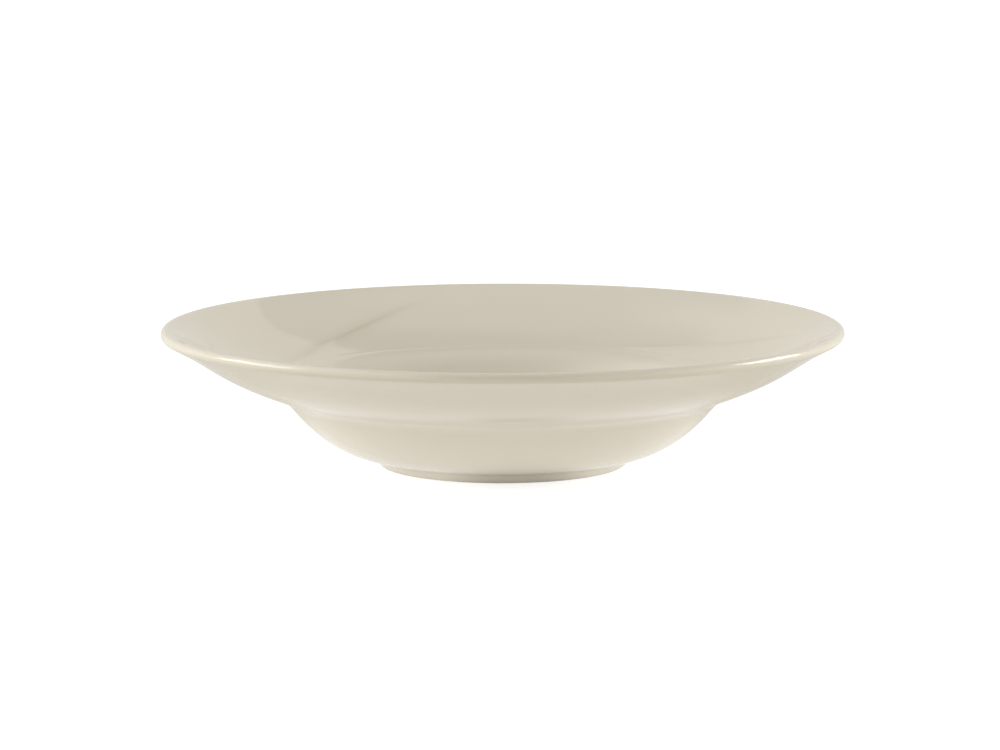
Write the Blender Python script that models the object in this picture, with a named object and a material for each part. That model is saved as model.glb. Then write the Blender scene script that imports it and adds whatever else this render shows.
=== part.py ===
"""A wide-rimmed salad bowl of glazed china, standing on its foot ring.

The bowl is one fired clay body in a thin coat of glaze. The coat runs from the foot ring's outside over
the lip and down into the well, and a second patch of glaze lies in the recess inside the foot ring. The
foot ring's standing face is wiped bare before the glaze is fired. Every piece is turned about +Z. The
origin is the centre of the standing face. Lengths are in metres and slopes in degrees.
"""

import math

import bpy
from mathutils import Vector

# The whole bowl, over the glaze.
RIM_DIAMETER = 0.305
HEIGHT = 0.0625

# The rim: a round lip, and an S-shaped wall down to the shoulder, where the well begins.
LIP_THICKNESS = 0.0049
RIM_WALL = 0.0054  # at the shoulder: the wall changes from there to the lip's thickness
RIM_SLOPE_AT_LIP = 27.0
RIM_SLOPE_AT_SHOULDER = 20.0
RIM_PULL_AT_LIP = 0.4  # how far each end's slope reaches along a curve, as a share of its length
RIM_PULL_AT_SHOULDER = 0.56

# The well: a round-bottomed side and a flat floor.
SHOULDER_DIAMETER = 0.1968  # where the two slopes would meet, outside, without the fillet
SHOULDER_HEIGHT = 0.0311
SHOULDER_FILLET = 0.02
WELL_WALL = 0.0054
WELL_SLOPE_AT_SHOULDER = 49.5
WELL_SLOPE_AT_FOOT = 14.0
WELL_PULL_AT_SHOULDER = 0.62
WELL_PULL_AT_FOOT = 0.19
WELL_SIDE_SHARE = 0.62  # share of the outer side that the inner side follows before it turns to the floor
WELL_FLOOR_DIAMETER = 0.088
WELL_FLOOR = 0.0055
TURN_PULL = 0.36  # as the pulls above, for the turns into the well's floor and into the recess

# The foot ring, and the recess inside it.
FOOT_DIAMETER = 0.1106
FOOT_HEIGHT = 0.0039
FOOT_TAPER = 0.0025  # how much further out the ring's outside is at its top than at its base
FOOT_COVE = 0.0012
FOOT_WIDTH = 0.0044
FOOT_CHAMFER = 0.0005
RECESS_DEPTH = 0.0028
RECESS_TAPER = 0.0012
RECESS_FILLET = 0.001

# The glaze, the seat between it and the clay, and how high above the table it stops.
GLAZE_THICKNESS = 0.00025
GLAZE_SEAT = 0.00005
GLAZE_LINE = 0.0013

# How finely the outlines are turned and their curves divided.
SEGMENTS = 60
LIP_STEPS = 8
RIM_STEPS = 6
SHOULDER_STEPS = 4
WELL_STEPS = 5
TURN_STEPS = 3
FILLET_STEPS = 2
AXIS_MERGE = 1e-6

CREAM_GLAZE = (0.7, 0.65, 0.545)
GLAZE_ROUGHNESS = 0.1
FIRED_CLAY = (0.66, 0.61, 0.53)
CLAY_ROUGHNESS = 0.7


def clear_scene():
    for obj in list(bpy.data.objects):
        bpy.data.objects.remove(obj, do_unlink=True)


def heading(slope):
    """The unit direction, in radius and height, that runs inwards and down at this slope."""
    return Vector((-math.cos(math.radians(slope)), -math.sin(math.radians(slope))))


def face_normal(direction):
    """The unit normal on the underside of a line that runs inwards: outwards and down."""
    return Vector((-direction.y, direction.x)).normalized()


def blend(start, start_direction, start_pull, end, end_direction, end_pull, steps, last=1.0):
    """Points and directions on a cubic curve between two ends, up to the share last of it."""
    span = (end - start).length
    handle_a = start + start_direction * span * start_pull
    handle_b = end - end_direction * span * end_pull
    found = []
    for i in range(steps + 1):
        t = last * i / steps
        s = 1.0 - t
        point = s**3 * start + 3 * s * s * t * handle_a + 3 * s * t * t * handle_b + t**3 * end
        along = s * s * (handle_a - start) + 2 * s * t * (handle_b - handle_a) + t * t * (end - handle_b)
        found.append((point, along.normalized()))
    return found


def fillet(corner, slope_in, slope_out, radius, steps):
    """Points and directions of the round that joins two slopes meeting at a hollow corner."""
    half_turn = math.radians(slope_out - slope_in) / 2
    start = corner - heading(slope_in) * radius * math.tan(half_turn)
    centre = start + face_normal(heading(slope_in)) * radius
    found = []
    for i in range(steps + 1):
        direction = heading(slope_in + (slope_out - slope_in) * i / steps)
        found.append((centre - face_normal(direction) * radius, direction))
    return found


def lip_round():
    """The lip's half round, from where it leaves the rim's face over the crest to the rim's back."""
    radius = LIP_THICKNESS / 2
    centre = Vector((RIM_DIAMETER / 2 - radius, HEIGHT - radius))
    back = face_normal(heading(RIM_SLOPE_AT_LIP)) * radius
    start_angle = math.atan2(-back.y, -back.x)
    found = []
    for i in range(LIP_STEPS + 1):
        angle = start_angle - math.pi * i / LIP_STEPS
        found.append(centre + Vector((math.cos(angle), math.sin(angle))) * radius)
    return found


def shoulder_round():
    """The hollow round on the outside where the rim's back meets the well's side."""
    corner = Vector((SHOULDER_DIAMETER / 2, SHOULDER_HEIGHT))
    return fillet(
        corner, RIM_SLOPE_AT_SHOULDER, WELL_SLOPE_AT_SHOULDER, SHOULDER_FILLET, SHOULDER_STEPS
    )


def foot_cove():
    """The small hollow round where the well's side meets the foot ring's outside."""
    corner = Vector((FOOT_DIAMETER / 2 + FOOT_TAPER, FOOT_HEIGHT))
    foot_slope = math.degrees(math.atan2(FOOT_HEIGHT, FOOT_TAPER))
    return fillet(corner, WELL_SLOPE_AT_FOOT, foot_slope, FOOT_COVE, FILLET_STEPS)


def rim_back():
    """The rim's underside, from the lip to the shoulder."""
    return blend(
        lip_round()[-1], heading(RIM_SLOPE_AT_LIP), RIM_PULL_AT_LIP,
        shoulder_round()[0][0], heading(RIM_SLOPE_AT_SHOULDER), RIM_PULL_AT_SHOULDER,
        RIM_STEPS,
    )  # fmt: skip


def well_back(last=1.0):
    """The well's outer side, from the shoulder to the foot ring, or only the first share of it."""
    return blend(
        shoulder_round()[-1][0], heading(WELL_SLOPE_AT_SHOULDER), WELL_PULL_AT_SHOULDER,
        foot_cove()[0][0], heading(WELL_SLOPE_AT_FOOT), WELL_PULL_AT_FOOT,
        WELL_STEPS, last,
    )  # fmt: skip


def through_wall(stretch, wall_at_start, wall_at_end):
    """The inner face of a stretch of the back: each point and direction, moved through the wall."""
    last = len(stretch) - 1
    found = []
    for i, (point, direction) in enumerate(stretch):
        wall = wall_at_start + (wall_at_end - wall_at_start) * i / last
        found.append((point - face_normal(direction) * wall, direction))
    return found


def turn(start, end, steps):
    """A round turn between two stretches, from one's last point and direction to the other's first."""
    return blend(*start, TURN_PULL, *end, TURN_PULL, steps)


def points(stretch):
    return [point for point, direction in stretch]


def face_outline():
    """The finished inside of the bowl, from the centre of the floor out to the lip."""
    rim = through_wall(rim_back(), LIP_THICKNESS, RIM_WALL)
    shoulder = through_wall(shoulder_round(), RIM_WALL, WELL_WALL)
    side = through_wall(well_back(WELL_SIDE_SHARE), WELL_WALL, WELL_WALL)
    floor = (Vector((WELL_FLOOR_DIAMETER / 2, RECESS_DEPTH + WELL_FLOOR)), heading(0.0))
    into_floor = turn(side[-1], floor, TURN_STEPS)
    inwards = points(rim[1:] + shoulder[1:-1] + side + into_floor[1:])
    return [Vector((0.0, floor[0].y))] + inwards[::-1]


def coat_outline():
    """Everything the main coat covers, from the floor's centre over the lip to the glaze line."""
    back = rim_back()[1:-1] + shoulder_round() + well_back()[1:-1] + foot_cove()
    glaze_edge = Vector((FOOT_DIAMETER / 2 + FOOT_TAPER * GLAZE_LINE / FOOT_HEIGHT, GLAZE_LINE))
    return face_outline() + lip_round() + points(back) + [glaze_edge]


def recess_outline():
    """The finished recess inside the foot ring, from the glaze line up and in to the centre."""
    base = Vector((FOOT_DIAMETER / 2 - FOOT_WIDTH, 0.0))
    corner = base + Vector((-RECESS_TAPER, RECESS_DEPTH))
    rise = (corner - base).normalized()
    glaze_edge = base + rise * GLAZE_LINE / rise.y
    inwards = heading(0.0)
    side = (corner - rise * RECESS_FILLET, rise)
    ceiling = (corner + inwards * RECESS_FILLET, inwards)
    return [glaze_edge] + points(turn(side, ceiling, FILLET_STEPS)) + [Vector((0.0, RECESS_DEPTH))]


def moved_in(outline, depth):
    """An outline moved to its right-hand side, which is the inside of the material, by a depth."""
    steps = [(b - a).normalized() for a, b in zip(outline, outline[1:])]
    found = []
    for i, point in enumerate(outline):
        before = steps[max(i - 1, 0)]
        after = steps[min(i, len(steps) - 1)]
        bisector = Vector((before.y + after.y, -before.x - after.x)).normalized()
        reach = depth / bisector.dot(Vector((after.y, -after.x)))
        found.append(point + bisector * reach)
    return found


def clay_outline():
    """The clay body under its glaze, with the bare foot ring between the two glaze lines."""
    depth = GLAZE_THICKNESS + GLAZE_SEAT
    under_coat = moved_in(coat_outline(), depth)
    under_recess = moved_in(recess_outline(), depth)
    outer = under_coat[-1]
    inner = under_recess[0]
    outer_base = Vector((outer.x - FOOT_TAPER * outer.y / FOOT_HEIGHT, 0.0))
    inner_base = Vector((inner.x + RECESS_TAPER * inner.y / RECESS_DEPTH, 0.0))
    inset = Vector((FOOT_CHAMFER, 0.0))
    foot = [
        outer_base + (outer - outer_base).normalized() * FOOT_CHAMFER,
        outer_base - inset,
        inner_base + inset,
        inner_base + (inner - inner_base).normalized() * FOOT_CHAMFER,
    ]
    return under_coat + foot + under_recess


def principled(name, colour, roughness):
    material = bpy.data.materials.new(name)
    material.use_nodes = True
    shader = material.node_tree.nodes["Principled BSDF"]
    shader.inputs["Base Color"].default_value = (*colour, 1.0)
    shader.inputs["Roughness"].default_value = roughness
    shader.inputs["Metallic"].default_value = 0.0
    return material


def turned(name, outline, material, parent):
    """A solid turned about +Z from an outline that runs from its top, round its outside, to its bottom."""
    mesh = bpy.data.meshes.new(name)
    corners = [(point.x, 0.0, point.y) for point in outline]
    edges = [(i, i + 1) for i in range(len(corners) - 1)]
    mesh.from_pydata(corners, edges, [])
    mesh.materials.append(material)
    obj = bpy.data.objects.new(name, mesh)
    obj.parent = parent
    bpy.context.scene.collection.objects.link(obj)
    screw = obj.modifiers.new("turn", "SCREW")
    screw.axis = "Z"
    screw.angle = math.tau
    screw.steps = SEGMENTS
    screw.render_steps = SEGMENTS
    screw.use_merge_vertices = True
    screw.merge_threshold = AXIS_MERGE
    screw.use_smooth_shade = True
    return obj


def make_bowl():
    clear_scene()
    bowl = bpy.data.objects.new("salad_bowl", None)
    bpy.context.scene.collection.objects.link(bowl)
    glaze = principled("cream_glaze", CREAM_GLAZE, GLAZE_ROUGHNESS)
    clay = principled("fired_clay", FIRED_CLAY, CLAY_ROUGHNESS)

    turned("clay_body", clay_outline(), clay, bowl)

    coat = coat_outline()
    turned("glaze_coat", coat + moved_in(coat, GLAZE_THICKNESS)[::-1], glaze, bowl)

    recess = recess_outline()
    turned("foot_recess_glaze", moved_in(recess, GLAZE_THICKNESS)[::-1] + recess, glaze, bowl)


make_bowl()
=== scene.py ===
"""A wide-rimmed salad bowl of glazed china on a white table: its fine surfaces, finishes, light and view.

Every piece is turned about +Z from a run: an array of stations, each with its radius, its height, the way
the run goes there in radius and height, and how far round the swirl has swept there, from 0 in the well to
1 near the lip and on all the backs. A run keeps the material on its right-hand side. Angles round the bowl
are in degrees clockwise from +Y, which points away from the camera. Lengths are in metres.
"""

import bpy
import numpy as np
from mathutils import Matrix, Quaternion, Vector


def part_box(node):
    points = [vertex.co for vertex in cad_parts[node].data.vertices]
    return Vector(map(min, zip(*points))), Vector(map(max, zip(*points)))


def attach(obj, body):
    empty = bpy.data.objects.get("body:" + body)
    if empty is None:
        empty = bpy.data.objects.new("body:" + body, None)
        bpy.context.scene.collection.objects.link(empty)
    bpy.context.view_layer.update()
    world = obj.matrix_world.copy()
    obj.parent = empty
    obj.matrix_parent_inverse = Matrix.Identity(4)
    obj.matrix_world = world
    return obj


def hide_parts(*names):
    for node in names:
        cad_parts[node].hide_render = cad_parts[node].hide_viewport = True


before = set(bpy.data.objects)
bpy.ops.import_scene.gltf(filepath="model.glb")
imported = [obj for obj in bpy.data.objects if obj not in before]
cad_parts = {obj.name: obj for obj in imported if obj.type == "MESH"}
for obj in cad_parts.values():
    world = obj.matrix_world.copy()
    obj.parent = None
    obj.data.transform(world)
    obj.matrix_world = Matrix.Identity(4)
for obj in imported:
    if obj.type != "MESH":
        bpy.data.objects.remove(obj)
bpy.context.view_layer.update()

# The clay body: rim, well and foot ring, jiggered as one piece of pale clay and fired under its glaze.
# The former presses four shallow swirl grooves into the rim's face. Only the foot ring's base stays bare.
coat_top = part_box("glaze_coat")[1]
RIM_RADIUS = coat_top.x
HEIGHT = coat_top.z
LIP_THICKNESS = 0.0049
RIM_WALL = 0.0054
RIM_SLOPE_AT_LIP = 27.0
RIM_SLOPE_AT_SHOULDER = 20.0
RIM_PULL_AT_LIP = 0.4
RIM_PULL_AT_SHOULDER = 0.56
SHOULDER = np.array([0.0984, 0.0311])
SHOULDER_FILLET = 0.02
WELL_WALL = 0.0054
WELL_SLOPE_AT_SHOULDER = 49.5
WELL_SLOPE_AT_FOOT = 14.0
WELL_PULL_AT_SHOULDER = 0.62
WELL_PULL_AT_FOOT = 0.19
WELL_SIDE_SHARE = 0.62
WELL_FLOOR_RADIUS = 0.044
WELL_FLOOR = 0.0055
TURN_PULL = 0.36
FOOT_RADIUS = 0.0553
FOOT_HEIGHT = 0.0039
FOOT_TAPER = 0.0025
FOOT_COVE = 0.0012
FOOT_WIDTH = 0.0044
FOOT_ROUND = 0.0007
RECESS_DEPTH = 0.0028
RECESS_TAPER = 0.0012
RECESS_FILLET = 0.001
GLAZE_THICKNESS = 0.00025
GLAZE_SEAT = 0.00005
GLAZE_LINE = 0.0013
HIDDEN_STEP = 3
POINT, WAY, SWEPT = slice(0, 2), slice(2, 4), 4


def heading(slope):
    """The unit direction that runs inwards and down at a slope in degrees."""
    return -np.stack([np.cos(np.radians(slope)), np.sin(np.radians(slope))], axis=-1)


def outside(ways):
    """The unit normals that point out of the material: a quarter turn to the left of each direction."""
    return np.stack([-ways[..., 1], ways[..., 0]], axis=-1)


def run_of(points, ways):
    """Stations at these points, with these directions, where the swirl has swept all the way."""
    return np.column_stack([points, ways, np.ones(len(points))])


def curve(start, end, start_pull, end_pull, shares):
    """A cubic curve between two stations, which leaves and arrives in their directions.

    A pull is how far a direction reaches along the curve, as a share of the span between the stations. The
    shares, from 0 at the start to 1 at the end, say where on the curve its own stations lie.
    """
    a, d = start[POINT], end[POINT]
    span = np.linalg.norm(d - a)
    b = a + start[WAY] * span * start_pull
    c = d - end[WAY] * span * end_pull
    t = shares[:, None]
    s = 1 - t
    points = s**3 * a + 3 * s * s * t * b + 3 * s * t * t * c + t**3 * d
    along = s * s * (b - a) + 2 * s * t * (c - b) + t * t * (d - c)
    return run_of(points, along / np.linalg.norm(along, axis=1, keepdims=True))


def straight(start, end, count):
    """Stations at even steps on the line between two points."""
    way = (end - start) / np.linalg.norm(end - start)
    return run_of(np.linspace(start, end, count), np.tile(way, (count, 1)))


def hollow(corner, slope_in, slope_out, radius, count):
    """The round of a radius that joins two slopes, in degrees, where they meet at a hollow corner."""
    ways = heading(np.linspace(slope_in, slope_out, count))
    reach = radius * np.tan(np.radians(slope_out - slope_in) / 2)
    centre = corner - ways[0] * reach + outside(ways[0]) * radius
    return run_of(centre - outside(ways) * radius, ways)


def turn(before, after, count):
    """A near-circular turn from the last station of one run to the first of another."""
    return curve(before[-1], after[0], TURN_PULL, TURN_PULL, np.linspace(0.0, 1.0, count))


def moved(run, distance):
    """The run moved out along its normals by a distance, one for all stations or one for each."""
    found = run.copy()
    found[:, POINT] += outside(run[:, WAY]) * np.reshape(distance, (-1, 1))
    return found


def walked_back(run):
    """The run walked the other way."""
    found = run[::-1].copy()
    found[:, WAY] *= -1
    return found


def thinned(run, step):
    """Every step-th station of the run, and its last."""
    return run[np.append(np.arange(0, len(run) - 1, step), len(run) - 1)]


def joined(*runs):
    """Runs end to end. Each begins where the one before ends, and that shared station is kept once."""
    return np.concatenate([runs[0], *(run[1:] for run in runs[1:])])


def lip_round(count):
    """The lip's half circle, from the rim's face over the crest to the rim's back."""
    radius = LIP_THICKNESS / 2
    back = outside(heading(RIM_SLOPE_AT_LIP))
    angles = np.arctan2(-back[1], -back[0]) - np.linspace(0, np.pi, count)
    normals = np.stack([np.cos(angles), np.sin(angles)], axis=1)
    points = np.array([RIM_RADIUS - radius, HEIGHT - radius]) + normals * radius
    return run_of(points, np.stack([normals[:, 1], -normals[:, 0]], axis=1))


lip = lip_round(count=21)
shoulder = hollow(SHOULDER, RIM_SLOPE_AT_SHOULDER, WELL_SLOPE_AT_SHOULDER, SHOULDER_FILLET, count=11)
foot_slope = np.degrees(np.arctan2(FOOT_HEIGHT, FOOT_TAPER))
foot_corner = np.array([FOOT_RADIUS + FOOT_TAPER, FOOT_HEIGHT])
cove = hollow(foot_corner, WELL_SLOPE_AT_FOOT, foot_slope, FOOT_COVE, count=9)


def rim_back(shares):
    """The rim's underside: an S-curve from the lip to the shoulder."""
    return curve(lip[-1], shoulder[0], RIM_PULL_AT_LIP, RIM_PULL_AT_SHOULDER, shares)


def well_back(shares):
    """The well's outer side: a round belly from the shoulder to the foot ring."""
    return curve(shoulder[-1], cove[0], WELL_PULL_AT_SHOULDER, WELL_PULL_AT_FOOT, shares)


def inside_face():
    """The bowl's inside, from the floor's centre out to the lip: the back moved through the wall.

    On the rim the wall grows evenly from the lip's thickness to its own. Next to the shoulder the rim's
    stations stand closer together, to carry the swirl's ring line.
    """
    wide_steps = np.linspace(0.0, 0.93, 48)
    close_steps = np.linspace(0.934, 1.0, 18)
    rim_shares = np.append(wide_steps, close_steps)
    rim = moved(rim_back(rim_shares), (LIP_THICKNESS - RIM_WALL) * rim_shares - LIP_THICKNESS)
    roll = moved(shoulder, -np.linspace(RIM_WALL, WELL_WALL, len(shoulder)))
    well = moved(well_back(np.linspace(0.0, WELL_SIDE_SHARE, 19)), -WELL_WALL)
    floor_height = RECESS_DEPTH + WELL_FLOOR
    floor = straight(np.array([WELL_FLOOR_RADIUS, floor_height]), np.array([0.0, floor_height]), count=7)
    inside = walked_back(joined(rim, roll, well, turn(well, floor, count=13), floor))
    inside[:, SWEPT] = swirl_way(inside[:, 0]) ** SWIRL_BEND
    return inside


def coat_face():
    """The glazed outside of the bowl, from the floor's centre over the lip to the foot's glaze line."""
    glaze_edge = np.array([FOOT_RADIUS + FOOT_TAPER * GLAZE_LINE / FOOT_HEIGHT, GLAZE_LINE])
    foot_side = straight(cove[-1, POINT], glaze_edge, count=7)
    even = np.linspace(0.0, 1.0, 25)
    return joined(inside_face(), lip, rim_back(even), shoulder, well_back(even), cove, foot_side)


def recess_face():
    """The glazed recess inside the foot ring, from its glaze line up and in to the centre."""
    foot = np.array([FOOT_RADIUS - FOOT_WIDTH, 0.0])
    corner = foot + np.array([-RECESS_TAPER, RECESS_DEPTH])
    rise = (corner - foot) / np.linalg.norm(corner - foot)
    side = straight(foot + rise * GLAZE_LINE / rise[1], corner - rise * RECESS_FILLET, count=4)
    ceiling = straight(corner + heading(0.0) * RECESS_FILLET, np.array([0.0, RECESS_DEPTH]), count=10)
    return joined(side, turn(side, ceiling, count=7), ceiling)


def clay_face():
    """The clay under both glazes, and the bare foot ring with its rounded edges between their lines."""
    depth = GLAZE_THICKNESS + GLAZE_SEAT
    under_coat = moved(thinned(coat_face(), HIDDEN_STEP), -depth)
    under_recess = moved(recess_face(), -depth)
    outer, inner = under_coat[-1], under_recess[0]
    outer_base = outer[0] + outer[1] * outer[2] / -outer[3] - FOOT_ROUND
    inner_base = inner[0] - inner[1] * inner[2] / inner[3] + FOOT_ROUND
    base = straight(np.array([outer_base, 0.0]), np.array([inner_base, 0.0]), count=4)
    outer_turn = turn(under_coat, base, count=9)
    inner_turn = turn(base, under_recess, count=9)
    return joined(under_coat, outer_turn, base, inner_turn, under_recess)


# The swirl in the clay: each groove leaves a fine ring line round the well and sweeps round as it goes out
# to the lip. The mesh's lines sweep with it, closer together beside a groove.
RING_RADIUS = 0.1036
RING_DEPTH = 0.00009
RING_WIDTH = 0.0006
SWIRL_START = 0.103
SWIRL_SPAN = 0.04
SWIRL_SWEEP = 67.9
SWIRL_BEND = 0.62
SWIRL_LEAST_WAY = 0.01
SWIRL_FADE_IN = (0.104, 0.110)
SWIRL_FADE_OUT = (0.126, 0.142)
GROOVE_ANGLES = np.array([-142.0, -79.0, 18.5, 118.0])
GROOVE_DEPTHS = np.array([0.00022, 0.0004, 0.00022, 0.0003])
GROOVE_WIDTH = 0.0009
GROOVE_FLARE = 0.003
GROOVE_FLARE_REACH = 0.012
GROOVE_ROUND = 0.0006
LINES = 352
LINE_CROWDING = 4.0
LINE_CROWD_WIDTH = 3.0
LINE_SAMPLES = 7201
POOL_REACH = 0.0011


def swirl_way(radius):
    """How far out a radius lies between the swirl's inner circle and the lip, from 0 to 1."""
    return np.clip((radius - SWIRL_START) / SWIRL_SPAN, 0.0, 1.0)


def away_from_grooves(angles):
    """The angles from each groove, in degrees within a half turn, with the grooves on a new last axis."""
    return (angles[..., None] - GROOVE_ANGLES + 180.0) % 360.0 - 180.0


def mesh_lines():
    """The mesh's angles: equal shares of a density that is 1 and rises in a bell beside each groove."""
    fine = np.linspace(0.0, 360.0, LINE_SAMPLES)
    bells = np.exp(-((away_from_grooves(fine) / LINE_CROWD_WIDTH) ** 2))
    share = np.cumsum(1.0 + LINE_CROWDING * bells.sum(axis=-1))
    return np.interp(np.arange(LINES) / LINES, (share - share[0]) / (share[-1] - share[0]), fine)


def smooth_step(value, low, high):
    """0 below low, 1 above high and a smooth S between."""
    share = np.clip((value - low) / (high - low), 0.0, 1.0)
    return share * share * (3.0 - 2.0 * share)


def groove_depth(radius, lines):
    """How deep the swirl is pressed, for each radius on each line.

    A groove follows its line, so a point's distance from it is the angle between their lines, times the
    radius, times the cosine of the angle between groove and radius. The depth falls off exponentially with
    that distance, with a round bottom, and fades at both ends of the swirl. A groove flares towards the well,
    where the ring line adds a bell over the radius. The angle there is the one that the groove has at the
    least way out, because at the inner circle itself its formula has no end.
    """
    way = np.maximum(swirl_way(radius), SWIRL_LEAST_WAY)
    crossing = radius * np.radians(SWIRL_SWEEP) * SWIRL_BEND * way ** (SWIRL_BEND - 1) / SWIRL_SPAN
    across = radius / np.sqrt(1.0 + crossing**2)
    distance = np.radians(away_from_grooves(lines)) * across[:, None, None]
    width = GROOVE_WIDTH + GROOVE_FLARE * np.exp((SWIRL_START - radius) / GROOVE_FLARE_REACH)
    rounded = np.sqrt(distance**2 + GROOVE_ROUND**2) - GROOVE_ROUND
    depth = (GROOVE_DEPTHS * np.exp(-rounded / width[:, None, None])).sum(axis=-1)
    fade = smooth_step(radius, *SWIRL_FADE_IN) * (1.0 - smooth_step(radius, *SWIRL_FADE_OUT))
    ring = RING_DEPTH * np.exp(-(((radius - RING_RADIUS) / RING_WIDTH) ** 2))
    return depth * fade[:, None] + ring[:, None]


def skin_faces(index):
    """A skin's faces: four-sided ones between the rows of a grid of vertices, and a fan round each pole.

    A row goes round the axis, and its last vertex joins its first. Vertices 0 and 1 are the poles, before
    the first row and after the last.
    """
    beside = np.roll(index, -1, axis=1)
    pole = np.zeros(index.shape[1], int)
    walls = np.stack([index[:-1], beside[:-1], beside[1:], index[1:]], axis=-1).reshape(-1, 4)
    first = np.stack([pole, beside[0], index[0]], axis=-1)
    last = np.stack([index[-1], beside[-1], pole + 1], axis=-1)
    return [*walls.tolist(), *first.tolist(), *last.tolist()]


def pooling(run, depth):
    """How much glaze gathers at each vertex, from 1 in a hollow, through 0, to -1 where it thins on an edge.

    It is the sum of two shares, held to those limits: the swirl's depth over its deepest groove's, and the
    pool's reach times the run's bend. The bend at a station is the sine of the angle between the directions
    at the stations on both sides, over the distance between these.
    """
    before, after = run[:-2, WAY], run[2:, WAY]
    length = np.linalg.norm(run[2:, POINT] - run[:-2, POINT], axis=1)
    bend = (before[:, 0] * after[:, 1] - before[:, 1] * after[:, 0]) / length
    return np.clip(POOL_REACH * bend[:, None] + depth / GROOVE_DEPTHS.max(), -1.0, 1.0)


def turned(name, run, material):
    """A closed skin: the run carried round the axis, in one piece, with its pooling as an attribute.

    On each line a station stands at that line's angle plus the swirl's sweep there, and before the sweep is
    over it is lower by the groove's depth. The first and last stations are on the axis, as one point each.
    """
    lines = mesh_lines()
    ring = run[1:-1]
    radius = ring[:, 0]
    swept = ring[:, SWEPT, None]
    depth = groove_depth(radius, lines) * (swept < 1.0)
    angle = np.radians(lines + SWIRL_SWEEP * swept)
    spots = [radius[:, None] * np.sin(angle), radius[:, None] * np.cos(angle), ring[:, 1, None] - depth]
    poles = np.array([[0.0, 0.0, run[0, 1]], [0.0, 0.0, run[-1, 1]]])
    vertices = np.concatenate([poles, np.stack(spots, axis=-1).reshape(-1, 3)])
    index = len(poles) + np.arange(depth.size).reshape(depth.shape)

    mesh = bpy.data.meshes.new(name)
    mesh.from_pydata(vertices, [], skin_faces(index))
    mesh.shade_smooth()
    pool = mesh.attributes.new("pool", "FLOAT", "POINT")
    pool.data.foreach_set("value", np.append([0.0, 0.0], pooling(run, depth)))
    mesh.materials.append(material)
    piece = bpy.data.objects.new(name, mesh)
    bpy.context.scene.collection.objects.link(piece)
    return piece


class Socket:
    """One output in a node tree. Arithmetic on it adds Math nodes, and add puts in any other node."""

    def __init__(self, tree, output=None):
        self.tree = tree
        self.output = output

    def add(self, kind, settings=None, sockets=None, output=0):
        """A new node: its settings first, then its sockets' values or links. Gives one of its outputs."""
        node = self.tree.nodes.new("ShaderNode" + kind)
        for name, value in (settings or {}).items():
            setattr(node, name, value)
        for name, value in (sockets or {}).items():
            if isinstance(value, Socket):
                self.tree.links.new(value.output, node.inputs[name])
            else:
                node.inputs[name].default_value = value
        return Socket(self.tree, node.outputs[output] if node.outputs else None)

    def maths(self, operation, first, second):
        return self.add("Math", {"operation": operation}, {0: first, 1: second})

    def __add__(self, other):
        return self.maths("ADD", self, other)

    def __radd__(self, other):
        return self.maths("ADD", other, self)

    def __sub__(self, other):
        return self.maths("SUBTRACT", self, other)

    def __rsub__(self, other):
        return self.maths("SUBTRACT", other, self)

    def __mul__(self, other):
        return self.maths("MULTIPLY", self, other)

    def __rmul__(self, other):
        return self.maths("MULTIPLY", other, self)

    def __abs__(self):
        return self.maths("ABSOLUTE", self, 0.0)

    def at_least(self, low):
        return self.maths("MAXIMUM", self, low)

    def between(self, low, high):
        """0 where this is low, 1 where it is high, and a smooth S between."""
        limits = {"Value": self, "From Min": low, "From Max": high}
        return self.add("MapRange", {"interpolation_type": "SMOOTHSTEP"}, limits)

    def distance(self, place, point):
        """How far a place, or the tip of a unit direction, is from a point."""
        return self.add("VectorMath", {"operation": "DISTANCE"}, {0: place, 1: point}, output="Value")

    def scaled(self, colour, share):
        """A colour times a number."""
        return self.add("VectorMath", {"operation": "SCALE"}, {0: colour, "Scale": share})

    def noise(self, place, scale, detail):
        """A cloudy pattern from 0 to 1 with scale clouds to the metre."""
        return self.add("TexNoise", {}, {"Vector": place, "Scale": scale, "Detail": detail})

    def mix(self, share, first, second):
        """A colour that goes from the first to the second as the share goes from 0 to 1.

        The Mix node has sockets of the same name for each type of data: 6, 7 and output 2 are its colours.
        """
        colours = {0: share, 6: first, 7: second}
        return self.add("Mix", {"data_type": "RGBA", "clamp_factor": True}, colours, output=2)


def empty_material(name):
    """A material with no nodes yet, and the tree to fill."""
    material = bpy.data.materials.new(name)
    material.use_nodes = True
    material.node_tree.nodes.clear()
    return material, Socket(material.node_tree)


CLAY = (0.73, 0.675, 0.59, 1.0)
CLAY_GRIT = (0.59, 0.545, 0.47, 1.0)
CLAY_ROUGHNESS = 0.62
GRIT_ROUGHNESS = 0.22
GRIT_HEIGHT = 0.00012
IRON = (0.3, 0.23, 0.16, 1.0)
IRON_SHARE = 0.5
SCUFF = (0.4, 0.385, 0.36, 1.0)
SCUFF_SHARE = 0.45
SCUFF_HEIGHT = 0.0004


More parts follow.
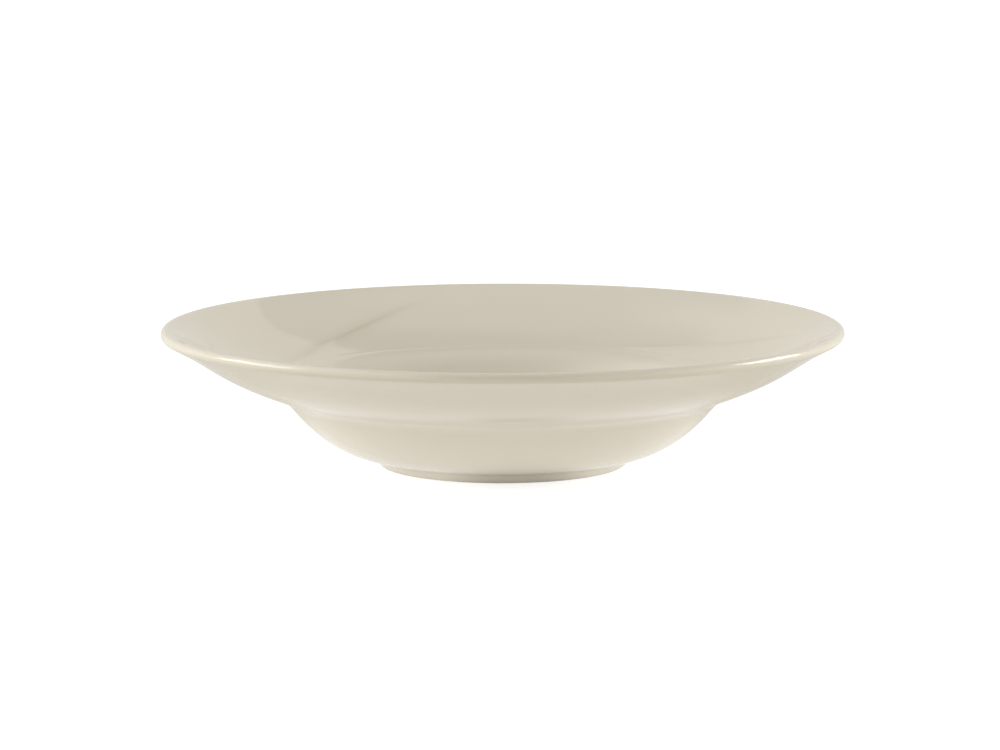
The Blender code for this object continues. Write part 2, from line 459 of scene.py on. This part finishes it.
def fired_clay():
    """Pale, matt and finely gritty, with iron specks, and scuffed grey where it stands."""
    material, tree = empty_material("fired_clay")
    place = tree.add("TexCoord", output="Object")
    height = tree.add("SeparateXYZ", {}, {0: place}, output="Z")
    grit = tree.noise(place, scale=900.0, detail=4.0)
    patches = tree.noise(place, scale=60.0, detail=3.0)
    cells = tree.add("TexVoronoi", {}, {"Vector": place, "Scale": 500.0}, output="Distance")
    specks = cells.between(0.22, 0.12)
    scuffs = height.between(SCUFF_HEIGHT, 0.0) * patches.between(0.4, 0.65)
    colour = tree.mix(grit, CLAY, CLAY_GRIT)
    colour = tree.mix(specks * IRON_SHARE, colour, IRON)
    colour = tree.mix(scuffs * SCUFF_SHARE, colour, SCUFF)
    roughness = CLAY_ROUGHNESS + GRIT_ROUGHNESS * grit
    bumps = tree.add("Bump", {}, {"Height": grit, "Distance": GRIT_HEIGHT, "Strength": 0.6})
    sockets = {"Base Color": colour, "Roughness": roughness, "Normal": bumps, "IOR": 1.45}
    shader = tree.add("BsdfPrincipled", {}, sockets)
    tree.add("OutputMaterial", {}, {"Surface": shader})
    return material


clay_body = turned("fired_clay_body", clay_face(), fired_clay())
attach(clay_body, "root")
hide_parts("clay_body")

# The main glaze coat: a quarter of a millimetre of clear glossy glaze over cream slip, from the well's floor
# over the lip to a wiped line on the foot ring. It gathers a little in hollows and thins over edges.
CREAM = (0.703, 0.658, 0.559, 1.0)
CREAM_CLOUD = (0.685, 0.644, 0.551, 1.0)
CREAM_POOLED = (0.59, 0.53, 0.42, 1.0)
CREAM_THIN = (0.76, 0.72, 0.615, 1.0)
POOLED_SHARE = 0.55
THIN_SHARE = 0.45
GLAZE_ROUGHNESS = 0.03
CLOUD_ROUGHNESS = 0.03
RIPPLE_HEIGHT = 0.00002
PEEL_SHARE = 0.06


def cream_glaze():
    """Glossy cream, faintly clouded, deeper where the glaze gathers and paler where it runs thin."""
    material, tree = empty_material("cream_glaze")
    place = tree.add("TexCoord", output="Object")
    pool = tree.add("Attribute", {"attribute_name": "pool"}, output="Fac")
    clouds = tree.noise(place, scale=24.0, detail=3.0)
    ripple = tree.noise(place, scale=55.0, detail=1.0)
    peel = tree.noise(place, scale=420.0, detail=2.0)
    colour = tree.mix(clouds, CREAM, CREAM_CLOUD)
    colour = tree.mix(pool.at_least(0.0) * POOLED_SHARE, colour, CREAM_POOLED)
    colour = tree.mix((0.0 - pool).at_least(0.0) * THIN_SHARE, colour, CREAM_THIN)
    relief = ripple + PEEL_SHARE * peel
    roughness = GLAZE_ROUGHNESS + CLOUD_ROUGHNESS * clouds
    bumps = tree.add("Bump", {}, {"Height": relief, "Distance": RIPPLE_HEIGHT, "Strength": 1.0})
    sockets = {"Base Color": colour, "Roughness": roughness, "Normal": bumps, "IOR": 1.5}
    shader = tree.add("BsdfPrincipled", {}, sockets)
    tree.add("OutputMaterial", {}, {"Surface": shader})
    return material


glaze = cream_glaze()
coat = coat_face()
coat_back = walked_back(moved(thinned(coat, HIDDEN_STEP), -GLAZE_THICKNESS))
coat_run = joined(coat, turn(coat, coat_back, count=5), coat_back)
glaze_coat = turned("cream_glaze_coat", coat_run, glaze)
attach(glaze_coat, "root")
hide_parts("glaze_coat")

# The recess glaze: a separate patch of the same glaze inside the foot ring, poured in before the ring's
# standing face is wiped.
recess = recess_face()
recess_back = walked_back(moved(recess, -GLAZE_THICKNESS))
recess_run = joined(recess_back, turn(recess_back, recess, count=5), recess)
recess_glaze = turned("foot_recess_glaze_patch", recess_run, glaze)
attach(recess_glaze, "root")
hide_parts("foot_recess_glaze")

# The table: a white sheet that fills the view, laid a hair under the foot ring so that their faces don't
# coincide. It glows softly, most of all under the bowl, which is painted light on the bowl's underside. Just
# in front of the foot a patch of painted shade dims that glow, which the bowl sees and the camera does not.
TABLE_HALF = 20.0
TABLE_DROP = 0.00002
TABLE_COLOUR = (0.45, 0.45, 0.45, 1.0)
# The glow is painted light: strongest under the bowl, to light its underside, and weaker and warmer farther
# out.
GLOW_NEAR = 0.62
GLOW_FAR = 0.37
GLOW_NEAR_COLOUR = (1.0, 1.0, 1.0, 1.0)
GLOW_FAR_COLOUR = (1.0, 0.96, 0.85, 1.0)
GLOW_PLACE = (-0.003, -0.03, 0.0)
GLOW_RADII = (0.085, 0.14)
GLOW_SEEN = 0.75
# Painted shade: the glow is dimmed in a patch just in front of the foot, so that the foot comes out dark as
# in a shadow.
PAINTED_SHADE = 0.57
PAINTED_SHADE_PLACE = (0.006, -0.046, 0.0)
PAINTED_SHADE_RADII = (0.038, 0.012)


def white_table():
    """Matt, with a painted glow that falls off away from the bowl and painted shade before the foot, and
    white to the camera.
    """
    material, tree = empty_material("white_table")
    place = tree.add("TexCoord", output="Object")
    seen = tree.add("LightPath", output="Is Camera Ray")
    away = tree.distance(place, GLOW_PLACE).between(*GLOW_RADII)
    painted_shade = PAINTED_SHADE * tree.distance(place, PAINTED_SHADE_PLACE).between(*PAINTED_SHADE_RADII)
    lit = (GLOW_NEAR + (GLOW_FAR - GLOW_NEAR) * away) * (1.0 - painted_shade)
    strength = lit + (GLOW_SEEN - lit) * seen
    colour = tree.mix(away * (1.0 - seen), GLOW_NEAR_COLOUR, GLOW_FAR_COLOUR)
    sheet = tree.add("BsdfDiffuse", {}, {"Color": TABLE_COLOUR})
    glow = tree.add("Emission", {}, {"Color": tree.scaled(colour, strength)})
    shader = tree.add("AddShader", {}, {0: sheet, 1: glow})
    tree.add("OutputMaterial", {}, {"Surface": shader})
    return material


table_corners = np.array([[-1, -1], [1, -1], [1, 1], [-1, 1]]) * TABLE_HALF
table_mesh = bpy.data.meshes.new("table_top")
table_mesh.from_pydata(np.insert(table_corners, 2, -TABLE_DROP, axis=1), [], [(0, 1, 2, 3)])
table_mesh.materials.append(white_table())
table = bpy.data.objects.new("table_top", table_mesh)
bpy.context.scene.collection.objects.link(table)

# The light: a tent of warm white cloth round the sides and the back, with a dark door in front. Above its
# edge the studio's ceiling shows, brighter to the left and to the front, with a dark gap behind the edge.
# A softbox shines in from each side.
TENT_COLOUR = (1.0, 0.97, 0.89, 1.0)
TENT_EDGE = 38.0
TENT_EDGE_BLUR = 0.5
TENT_SIDES = 0.8
TENT_LOW_SIDES = 0.96
TENT_LOW_SIDES_UP = (0.42, 0.15)
TENT_BACK = 0.77
TENT_BACK_DEPTH = (0.3, 0.8)
DOOR_DEPTH = (-0.25, -0.55)
DOOR_HALF = (0.5, 0.25)
CEILING_COLOUR = (1.0, 1.0, 1.0, 1.0)
CEILING = 0.375
CEILING_LEFT = 1.2
CEILING_LEFT_ACROSS = (-0.15, -0.6)
CEILING_FRONT = 0.22
CEILING_FRONT_DEPTH = (0.0, -0.3)
GAP_WAY = (0.058, 0.667, 0.743)
GAP_RADII = (0.24, 0.08)
SOFTBOX_DISTANCE = 1.2


def studio_tent():
    """A world whose strength and colour follow the direction, as a unit vector across, in depth and up.

    Below its edge the tent has its sides' strength, more near the table, and changes to its back's. The
    ceiling's strength is the sum of its zones, less the gap. The door darkens all. A pair of limits says
    where a zone begins and where it is full.
    """
    world = bpy.data.worlds.new("studio_tent")
    world.use_nodes = True
    world.node_tree.nodes.clear()
    tree = Socket(world.node_tree)
    way = tree.add("TexCoord", output="Generated")
    across = tree.add("SeparateXYZ", {}, {0: way}, output="X")
    depth = tree.add("SeparateXYZ", {}, {0: way}, output="Y")
    up = tree.add("SeparateXYZ", {}, {0: way}, output="Z")
    sides = TENT_SIDES + TENT_LOW_SIDES * up.between(*TENT_LOW_SIDES_UP)
    tent = sides + (TENT_BACK - sides) * depth.between(*TENT_BACK_DEPTH)
    ceiling = CEILING + CEILING_LEFT * across.between(*CEILING_LEFT_ACROSS)
    ceiling = ceiling + CEILING_FRONT * depth.between(*CEILING_FRONT_DEPTH)
    ceiling = ceiling * (1.0 - tree.distance(way, GAP_WAY).between(*GAP_RADII))
    edge = np.sin(np.radians([TENT_EDGE + TENT_EDGE_BLUR, TENT_EDGE - TENT_EDGE_BLUR]))
    below_edge = up.between(*edge)
    door = depth.between(*DOOR_DEPTH) * abs(across).between(*DOOR_HALF)
    strength = (ceiling + (tent - ceiling) * below_edge) * (1.0 - door)
    colour = tree.mix(below_edge, CEILING_COLOUR, TENT_COLOUR)
    background = tree.add("Background", {}, {"Color": colour, "Strength": strength})
    tree.add("OutputWorld", {}, {"Surface": background})
    return world


def softbox(name, azimuth, elevation, width, height, watts):
    """A lamp with a rectangular face, aimed at the bowl from a direction in degrees."""
    lamp = bpy.data.lights.new(name, "AREA")
    lamp.shape = "RECTANGLE"
    lamp.size = width
    lamp.size_y = height
    lamp.energy = watts
    box = bpy.data.objects.new(name, lamp)
    across = SOFTBOX_DISTANCE * np.cos(np.radians(elevation))
    up = SOFTBOX_DISTANCE * np.sin(np.radians(elevation))
    box.location = across * np.sin(np.radians(azimuth)), across * np.cos(np.radians(azimuth)), up
    box.rotation_euler = (-box.location).to_track_quat("-Z", "Y").to_euler()
    bpy.context.scene.collection.objects.link(box)


bpy.context.scene.world = studio_tent()
softbox("left_softbox", azimuth=-91.0, elevation=24.0, width=0.66, height=0.48, watts=5.1)
softbox("right_softbox", azimuth=82.0, elevation=22.0, width=0.58, height=0.46, watts=6.0)

# The view: a long lens from the front, a little above the lip. Its aim, length and slight roll put the rim
# where the photograph has it.
CAMERA_PLACE = Vector((-0.0012, -1.8257, 0.3071))
CAMERA_AIM = Vector((-0.0012, 0.0, 0.0398))
CAMERA_LENS = 148.3
CAMERA_SENSOR = 36.0
CAMERA_ROLL = -0.1
camera_data = bpy.data.cameras.new("view")
camera_data.lens = CAMERA_LENS
camera_data.sensor_width = CAMERA_SENSOR
camera = bpy.data.objects.new("view", camera_data)
camera.location = CAMERA_PLACE
look = (CAMERA_AIM - CAMERA_PLACE).to_track_quat("-Z", "Y")
camera.rotation_euler = (look @ Quaternion((0.0, 0.0, 1.0), np.radians(CAMERA_ROLL))).to_euler()
bpy.context.scene.collection.objects.link(camera)
bpy.context.scene.camera = camera
bpy.context.scene.view_settings.view_transform = "Standard"
